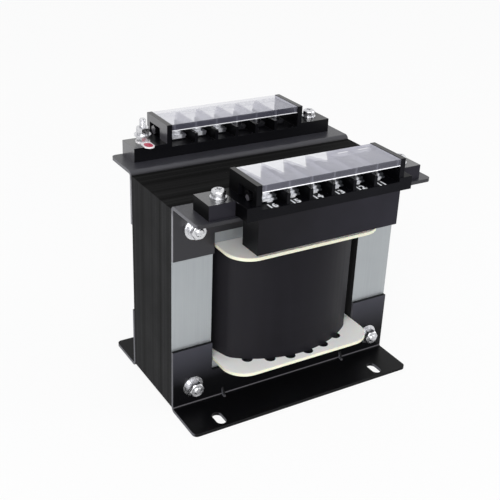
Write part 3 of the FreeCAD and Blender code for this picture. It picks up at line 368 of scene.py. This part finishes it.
def clear_plastic(name, side, far, web, far_alpha, top_alpha, painted_reflections):
    """Clear moulded plastic: hazy white top and ribs, a near lip painted dark as painted shade with a
    painted highlight along its lower edge, and a far lip painted white on its left as a painted reflection.

    side divides the two lips, far is the cover's far edge and web is the ribs' colour. Where
    painted_reflections is set, the top has painted reflections in white wedges, and the ribs are painted
    dark below the near lip as painted shade.
    """
    g = Graph(name)
    x, y, z = g.parts(g.place())
    nx, ny, nz = g.normal()
    flow = g.remap(g.noise(35.0), 0.3, 0.7)
    body = g.mix(flow, srgb(200, 200, 212), srgb(212, 212, 223))
    rib = g.remap(g.math("ABSOLUTE", nx), 0.7, 0.9)
    top = g.remap(nz, 0.7, 0.9)
    lip = g.remap(g.math("ABSOLUTE", ny), 0.7, 0.9)
    near = g.before(y, side, 0.001)
    place = g.math("FRACT", g.math("MULTIPLY_ADD", x, 1 / PITCH, 0.5))
    at_rib = g.remap(g.math("ABSOLUTE", g.math("SUBTRACT", place, 0.5)), 0.02, 0.06, 1.0, 0.0)
    # Painted shade: the near lip is dark, for what is seen through it.
    near_lip_shade = g.mix(flow, srgb(60, 60, 70), srgb(74, 74, 85))
    near_lip_shade = g.mix(g.math("MULTIPLY", at_rib, 0.4), near_lip_shade, srgb(116, 116, 128))
    # Painted highlight: a white line along the near lip's lower edge.
    line = g.before(z, LIP_LINE)
    near_lip_shade = g.mix(line, near_lip_shade, srgb(246, 246, 250))
    # Painted reflection: the far lip is white on its left and grey to the right.
    pale = g.mix(g.remap(x, 0.0, 0.02), srgb(252, 252, 254), srgb(190, 189, 202))
    colour = g.mix(rib, body, g.mix(flow, web, srgb(190, 189, 202)))
    colour = g.mix(lip, colour, g.mix(near, pale, near_lip_shade))
    lip_alpha = g.remap(near, 0.0, 1.0, far_alpha, g.math("MAXIMUM", line, 0.88))
    alpha = g.math("MULTIPLY_ADD", rib, 0.4, 0.3)
    alpha = g.math("MULTIPLY_ADD", top, top_alpha - 0.3, alpha)
    off_lip = g.math("SUBTRACT", 1.0, lip)
    alpha = g.math("ADD", g.math("MULTIPLY", alpha, off_lip), g.math("MULTIPLY", lip, lip_alpha))
    fading = g.remap(g.past(z, LIP_BOTTOM, 0.00005), 0.0, 1.0, 0.06, 1.0)
    if painted_reflections:
        # Painted reflection: white wedges on the top, with a real coat over them.
        reflection = g.math("MULTIPLY", painted_reflection_wedges(g, x, y, far), top)
        colour = g.mix(reflection, colour, srgb(240, 240, 245))
        alpha = g.math("MAXIMUM", alpha, g.math("MULTIPLY", reflection, 0.78))
        g.coat(reflection, 0.1, 1.7)
        alpha = g.math("MULTIPLY", alpha, fading)
        # Painted shade: the ribs below the near lip are near black and opaque.
        shade = g.math("MULTIPLY", g.before(z, LIP_BOTTOM, 0.00005), off_lip)
        shade = g.math("MULTIPLY", shade, g.before(y, side - 0.005, 0.001))
        colour = g.mix(shade, colour, srgb(7, 7, 9))
        alpha = g.math("MAXIMUM", alpha, shade)
    else:
        alpha = g.math("MULTIPLY", alpha, g.math("MAXIMUM", fading, g.remap(y, side - 0.007, side - 0.004)))
    g.colour(colour)
    g.plug(alpha, g.shader.inputs["Alpha"])
    g.rough(g.remap(flow, 0.0, 1.0, 0.12, 0.2))
    g.bump(g.noise(90.0), 0.03, 0.0002, 0.0003)
    g.set(Specular_IOR_Level=0.5)
    return g


def zinc():
    """Bright zinc plate with a faint haze and small scratches."""
    g = Graph("zinc")
    haze = g.remap(g.noise(700.0), 0.3, 0.7)
    scratches = g.noise(1.0, 3.0, g.scaled(6000.0, 900.0, 2500.0))
    g.colour(g.mix(haze, srgb(192, 193, 196), srgb(224, 224, 227)))
    g.rough(g.remap(haze, 0.0, 1.0, 0.2, 0.34))
    g.bump(scratches, 0.2, 0.00005, 0.0002)
    g.set(Metallic=1.0)
    return g


def tin_plate(name, shaded, deep=None, right_shade=None, right_shade_from=0.0):
    """Bright matt tin on the bars, plates and screws of the terminals.

    It is shaded at the right of each bay, and behind deep where that is set. Where right_shade is set, it
    is painted shade in that colour to the right of right_shade_from.
    """
    g = Graph(name)
    x, y, _ = g.parts(g.place())
    haze = g.remap(g.noise(500.0), 0.3, 0.7)
    colour = g.mix(haze, srgb(232, 234, 240), srgb(248, 249, 252))
    across = g.math("FRACT", g.math("MULTIPLY_ADD", x, 1 / PITCH, 3.0))
    colour = g.mix(g.remap(across, 0.60, 0.68), colour, shaded)
    if deep is not None:
        colour = g.mix(g.remap(y, deep, deep + 0.003), colour, shaded)
    # Painted shade: where this is set, the tin darkens towards the right.
    if right_shade:
        colour = g.mix(g.remap(x, right_shade_from, right_shade_from + 0.008), colour, right_shade)
    g.colour(colour)
    g.rough(g.remap(haze, 0.0, 1.0, 0.22, 0.34))
    g.bump(g.noise(2200.0), 0.08, 0.00005, 0.0002)
    g.set(Metallic=0.2)
    return g


def copper():
    """Enamelled wire in neat turns."""
    g = Graph("enamelled_copper")
    _, _, z = g.parts(g.place())
    turn = g.math("SINE", g.math("MULTIPLY", z, 2.0 * math.pi / 0.0011))
    shade = g.remap(g.noise(120.0), 0.3, 0.7)
    g.colour(g.mix(shade, srgb(150, 74, 36), srgb(186, 98, 52)))
    g.rough(g.remap(shade, 0.0, 1.0, 0.25, 0.35))
    g.bump(turn, 0.8, 0.0003)
    g.set(Metallic=0.8)
    return g


def film():
    """Pale film between the windings."""
    g = Graph("insulation_film")
    shade = g.remap(g.noise(80.0), 0.3, 0.7)
    g.colour(g.mix(shade, srgb(222, 212, 150), srgb(236, 226, 168)))
    g.rough(g.remap(shade, 0.0, 1.0, 0.3, 0.45))
    g.bump(g.noise(300.0), 0.1, 0.0001)
    return g


def sleeve():
    """Woven sleeve on the leads."""
    g = Graph("lead_sleeve")
    x, _, z = g.parts(g.place())
    a = g.math("SINE", g.math("MULTIPLY", g.math("ADD", x, z), 7000.0))
    b = g.math("SINE", g.math("MULTIPLY", g.math("SUBTRACT", x, z), 7000.0))
    weave = g.remap(g.math("MULTIPLY", a, b), -1.0, 1.0)
    g.colour(g.mix(weave, srgb(196, 190, 172), srgb(226, 221, 205)))
    g.rough(g.remap(weave, 0.0, 1.0, 0.7, 0.85))
    g.bump(weave, 0.4, 0.0001)
    return g


def tag():
    """White tag with a red oval over its lug."""
    g = Graph("earth_tag")
    x, y, _ = g.parts(g.place())
    low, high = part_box("earth_tag")
    middle = ((low.x + high.x) / 2 - 0.0003, low.y + 0.0042)
    dx = g.math("MULTIPLY", g.math("SUBTRACT", x, middle[0]), 1 / 0.0026)
    dy = g.math("MULTIPLY", g.math("SUBTRACT", y, middle[1]), 1 / 0.0038)
    reach = g.math("ADD", g.math("MULTIPLY", dx, dx), g.math("MULTIPLY", dy, dy))
    shade = g.remap(g.noise(600.0), 0.3, 0.7)
    white = g.mix(shade, srgb(236, 232, 234), srgb(248, 246, 247))
    red = g.mix(shade, srgb(184, 44, 72), srgb(206, 72, 98))
    g.colour(g.mix(g.remap(reach, 0.85, 1.0), red, white))
    g.rough(g.remap(shade, 0.0, 1.0, 0.25, 0.4))
    g.bump(g.noise(1800.0), 0.06, 0.00005, 0.0002)
    return g


def print_white():
    """White print on the moulding."""
    g = Graph("white_print")
    shade = g.remap(g.noise(900.0), 0.25, 0.7)
    g.colour(g.mix(shade, srgb(236, 239, 244), srgb(252, 253, 255)))
    g.rough(g.remap(shade, 0.0, 1.0, 0.4, 0.6))
    g.bump(g.noise(4000.0), 0.1, 0.00003)
    return g


# Pieces that the scene adds
def piece(name, bm, graph):
    """Turns a bmesh into a piece that rides on the part."""
    mesh = bpy.data.meshes.new(name)
    bmesh.ops.recalc_face_normals(bm, faces=bm.faces)
    bm.to_mesh(mesh)
    bm.free()
    mesh.materials.append(graph.material)
    obj = bpy.data.objects.new(name, mesh)
    bpy.context.scene.collection.objects.link(obj)
    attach(obj, ROOT)
    return obj


def rings_to_skin(bm, rings):
    """Joins rings of points into one closed skin."""
    loops = [[bm.verts.new(p) for p in ring] for ring in rings]
    count = len(loops[0])
    for a, b in zip(loops, loops[1:]):
        for i in range(count):
            j = (i + 1) % count
            bm.faces.new((a[i], a[j], b[j], b[i]))
    bm.faces.new(list(reversed(loops[0])))
    bm.faces.new(loops[-1])


def thread_radius(radius, pitch, depth, along, turn):
    """Radius on a thread's flank at a distance along it and a share of a turn."""
    phase = (along / pitch - turn) % 1.0
    return radius - depth * abs(2.0 * phase - 1.0)


def threaded_rod(bm, start, direction, length, radius, pitch, threaded):
    """Rod whose first stretch carries a helical thread, with a chamfered tip."""
    turn = direction.to_track_quat("Z", "Y").to_matrix()
    sides = 28
    steps = max(2, int(threaded / (pitch / 8)))
    stations = [threaded * i / steps for i in range(steps + 1)] + [length]
    rings = []
    for along in stations:
        tip = min(1.0, 0.72 + 0.28 * along / (pitch * 0.9))
        ring = []
        for i in range(sides):
            share = i / sides
            r = radius
            if along <= threaded:
                r = thread_radius(radius, pitch, pitch * 0.5, along, share) * tip
            angle = 2 * math.pi * share
            local = Vector((r * math.cos(angle), r * math.sin(angle), along))
            ring.append(start + turn @ local)
        rings.append(ring)
    rings_to_skin(bm, rings)


def hex_prism(bm, start, direction, flats, height):
    """Hexagon head with a chamfer at each end."""
    turn = direction.to_track_quat("Z", "Y").to_matrix()
    corner = flats / math.sqrt(3)
    rings = []
    for share, along in ((0.93, 0.0), (1.0, 0.09), (1.0, 0.91), (0.93, 1.0)):
        ring = []
        for i in range(36):
            angle = 2 * math.pi * i / 36
            side = (angle % (math.pi / 3)) - math.pi / 6
            r = flats / 2 / math.cos(side)
            r = min(r, corner * share) if share < 1.0 else r
            ring.append(start + turn @ Vector((r * math.cos(angle), r * math.sin(angle), along * height)))
        rings.append(ring)
    rings_to_skin(bm, rings)


def clamp_bolts(graph):
    """The four clamp bolts with their threads, in place of the plain rods."""
    bm = bmesh.new()
    low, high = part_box("core_bolts")
    head = 3.5 * MM
    inset = 8.0 * MM / math.sqrt(3)
    xs = (low.x + inset, high.x - inset)
    zs = (14.8 * MM, 114.8 * MM)
    for x in xs:
        for z in zs:
            start = Vector((x, low.y, z))
            threaded_rod(bm, start, Vector((0, 1, 0)), high.y - head - low.y, 2.5 * MM, 0.8 * MM, 9 * MM)
            hex_prism(bm, Vector((x, high.y - head, z)), Vector((0, 1, 0)), 8 * MM, head)
    made = piece("core_bolts_threaded", bm, graph)
    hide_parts("core_bolts")


def earth_stud(graph):
    """Earth stud with its thread, in place of the plain rod."""
    bm = bmesh.new()
    low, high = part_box("earth_stud")
    centre = (low + high) / 2
    head = 2.8 * MM
    tip = Vector((centre.x, centre.y, high.z))
    threaded_rod(bm, tip, Vector((0, 0, -1)), high.z - low.z - head, 2 * MM, 0.7 * MM, 14 * MM)
    hex_prism(bm, Vector((centre.x, centre.y, low.z)), Vector((0, 0, 1)), 7 * MM, head)
    made = piece("earth_stud_threaded", bm, graph)
    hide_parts("earth_stud")


def numbers(graph):
    """Plain numbers printed on the ledge in front of each terminal of the front block."""
    for i, text in enumerate(("16", "15", "14", "13", "12", "11")):
        curve = bpy.data.curves.new(f"number_{text}", "FONT")
        curve.body = text
        curve.size = 6.2 * MM
        curve.extrude = 0.03 * MM
        curve.offset = 0.19 * MM
        curve.resolution_u = 6
        curve.space_character = 0.95
        curve.align_x = "LEFT"
        curve.materials.append(graph.material)
        obj = bpy.data.objects.new(f"number_{text}", curve)
        bpy.context.scene.collection.objects.link(obj)
        obj.location = ((i - 2.5) * PITCH - 4.5 * MM, -62.9 * MM, 135.84 * MM)
        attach(obj, ROOT)


# Studio
def seen(tree):
    """1 for rays from the camera, a mirror or glass."""
    path = tree.nodes.new("ShaderNodeLightPath")
    most = path.outputs["Is Camera Ray"]
    for name in ("Is Glossy Ray", "Is Transmission Ray"):
        node = tree.nodes.new("ShaderNodeMath")
        node.operation = "MAXIMUM"
        tree.links.new(most, node.inputs[0])
        tree.links.new(path.outputs[name], node.inputs[1])
        most = node.outputs[0]
    return most


def floor():
    """Pale floor that shows nearly white to the camera and keeps a soft shadow."""
    mesh = bpy.data.meshes.new("floor")
    bm = bmesh.new()
    bmesh.ops.create_grid(bm, x_segments=8, y_segments=8, size=4.0)
    bm.to_mesh(mesh)
    bm.free()
    obj = bpy.data.objects.new("floor", mesh)
    obj.location = (0, 0, -0.0002)
    bpy.context.scene.collection.objects.link(obj)
    material = bpy.data.materials.new("floor")
    material.use_nodes = True
    tree = material.node_tree
    tree.nodes.clear()
    glow = tree.nodes.new("ShaderNodeEmission")
    matte = tree.nodes.new("ShaderNodeBsdfDiffuse")
    matte.inputs["Color"].default_value = (0.9, 0.9, 0.9, 1)
    mixed = tree.nodes.new("ShaderNodeMixShader")
    result = tree.nodes.new("ShaderNodeOutputMaterial")
    share = tree.nodes.new("ShaderNodeMath")
    share.operation = "MULTIPLY"
    share.inputs[1].default_value = 0.9
    tree.links.new(seen(tree), share.inputs[0])
    tree.links.new(share.outputs[0], mixed.inputs[0])
    tree.links.new(matte.outputs[0], mixed.inputs[1])
    tree.links.new(glow.outputs[0], mixed.inputs[2])
    tree.links.new(mixed.outputs[0], result.inputs["Surface"])
    mesh.materials.append(material)


def world():
    """White to the camera and in reflections, a softer plain light on the object."""
    w = bpy.data.worlds.new("studio")
    bpy.context.scene.world = w
    w.use_nodes = True
    tree = w.node_tree
    tree.nodes.clear()
    soft = tree.nodes.new("ShaderNodeBackground")
    soft.inputs["Color"].default_value = (0.97, 0.98, 1.0, 1)
    soft.inputs["Strength"].default_value = 0.58
    white = tree.nodes.new("ShaderNodeBackground")
    white.inputs["Color"].default_value = (1, 1, 1, 1)
    white.inputs["Strength"].default_value = 1.0
    mixed = tree.nodes.new("ShaderNodeMixShader")
    result = tree.nodes.new("ShaderNodeOutputWorld")
    tree.links.new(seen(tree), mixed.inputs[0])
    tree.links.new(soft.outputs[0], mixed.inputs[1])
    tree.links.new(white.outputs[0], mixed.inputs[2])
    tree.links.new(mixed.outputs[0], result.inputs["Surface"])


def softbox(name, place, size, power):
    """Area light that points at the middle of the part."""
    data = bpy.data.lights.new(name, "AREA")
    data.shape = "RECTANGLE"
    data.size, data.size_y = size
    data.energy = power
    obj = bpy.data.objects.new(name, data)
    obj.location = place
    aim = Vector((0, 0, 0.07)) - Vector(place)
    obj.rotation_mode = "QUATERNION"
    obj.rotation_quaternion = aim.to_track_quat("-Z", "Y")
    bpy.context.scene.collection.objects.link(obj)


def camera():
    """The photograph's viewpoint."""
    data = bpy.data.cameras.new("camera")
    data.sensor_width = 36.0
    data.lens = 64.65
    data.clip_start = 0.01
    data.clip_end = 20.0
    obj = bpy.data.objects.new("camera", data)
    azimuth, elevation = math.radians(-31.6), math.radians(26.37)
    across = math.cos(elevation)
    back = Vector((math.sin(azimuth) * across, -math.cos(azimuth) * across, math.sin(elevation)))
    obj.location = (-0.26185, -0.40843, 0.31592)
    obj.rotation_mode = "QUATERNION"
    roll = Quaternion((0, 0, 1), math.radians(2.42))
    obj.rotation_quaternion = (-back).to_track_quat("-Z", "Y") @ roll
    bpy.context.scene.collection.objects.link(obj)
    bpy.context.scene.camera = obj


def dress_all():
    """Materials for every CAD node. Returns the zinc, which the added pieces share."""
    dress(["core_e_laminations", "core_i_laminations"], lamination())
    dress(["bobbin"], cream_plastic())
    dress(["outer_wrap"], coil_wrap())
    dress(["primary_winding", "secondary_winding"], copper())
    dress(["interwinding_insulation"], film())
    dark = srgb(9, 9, 11)
    # Painted light: the foot brackets' fronts are a lit tone, their tops and lower fronts a shaded one.
    foot = painted_sheet("foot_paint", front=srgb(66, 66, 74), top=dark, edge=srgb(96, 96, 102),
                         specular=0.1, low=dark)
    dress(["front_foot_bracket", "rear_foot_bracket"], foot)
    # Painted light: the shelf brackets' tops are a lit tone, their uprights a shaded one.
    shelf = painted_sheet("shelf_paint", front=srgb(19, 18, 25), top=srgb(54, 54, 60),
                          edge=srgb(138, 138, 144), specular=0.5)
    dress(["front_top_bracket", "rear_top_bracket"], shelf)
    ink = srgb(14, 14, 17)
    # Painted light and shade: the front block's wing ends and wing tops are lit tones, its cheek sides a
    # shaded one.
    base = {"ends": srgb(40, 39, 45), "wings": srgb(42, 42, 46), "sides": srgb(5, 5, 6),
            "peg_y": -0.0541, "gloss": (0.0, 1.0, 1.0, 0.4)}
    front = moulding("front_moulding", left=ink, right=srgb(18, 18, 22), top=srgb(7, 7, 10),
                     specular=0.05, base=base)
    dress(["front_terminal_base"], front)
    # Painted light: the rear block's cheek sides are a lit grey, its wing tops a lit tone.
    base = {"ends": ink, "wings": srgb(30, 30, 33), "sides": srgb(66, 65, 71),
            "peg_y": 0.0565, "gloss": (1.0, 0.9, 0.3, 0.4)}
    rear = moulding("rear_moulding", left=ink, right=ink, top=srgb(7, 7, 10), specular=0.1, base=base)
    dress(["rear_terminal_base"], rear)
    # Painted light: the skirts' fronts grow paler towards the right.
    skirt = moulding("skirt_moulding", left=srgb(14, 13, 17), right=srgb(34, 33, 41),
                     top=srgb(12, 12, 14), specular=0.12)
    dress(["front_lead_skirt", "rear_lead_skirt"], skirt)
    # Painted reflections on the front cover's top and far lip, painted shade on its near lip and ribs.
    cover = clear_plastic("front_clear_plastic", side=-0.050, far=-0.036, web=srgb(180, 179, 192),
                          far_alpha=0.9, top_alpha=0.45, painted_reflections=True)
    dress(["front_terminal_cover"], cover)
    # Painted light: the rear cover's ribs are paler than the front's.
    cover = clear_plastic("rear_clear_plastic", side=0.052, far=0.065, web=srgb(222, 221, 230),
                          far_alpha=0.05, top_alpha=0.42, painted_reflections=False)
    dress(["rear_terminal_cover"], cover)
    plated = zinc()
    names = ["front_core_washers", "rear_core_washers", "core_spring_washers", "core_nuts"]
    names += ["block_screws", "block_spring_washers", "block_washers", "block_nuts"]
    names += ["earth_lower_nut", "earth_washer", "earth_spring_washer", "earth_upper_nut"]
    names += ["core_bolts", "earth_stud"]
    dress(names, plated)
    parts = ("terminal_bars", "clamp_plates", "terminal_screws")
    tin = tin_plate("front_tin", shaded=srgb(56, 58, 62), deep=-0.0525)
    dress(["front_" + part for part in parts], tin)
    tin = tin_plate("rear_tin", shaded=srgb(110, 110, 116), right_shade=srgb(40, 40, 44), right_shade_from=-0.008)
    dress(["rear_" + part for part in parts], tin)
    dress(["front_leads", "rear_leads"], sleeve())
    dress(["earth_tag"], tag())
    return plated


zinc_plate = dress_all()
clamp_bolts(zinc_plate)
earth_stud(zinc_plate)
numbers(print_white())
floor()
world()
softbox("key", (-1.1, -1.15, 0.85), (1.0, 1.0), 17.0)
softbox("front", (-0.25, -1.6, 0.45), (0.8, 0.8), 8.0)
softbox("side", (1.3, -0.6, 0.5), (0.5, 1.0), 5.0)
camera()
bpy.context.scene.view_settings.view_transform = "Standard"
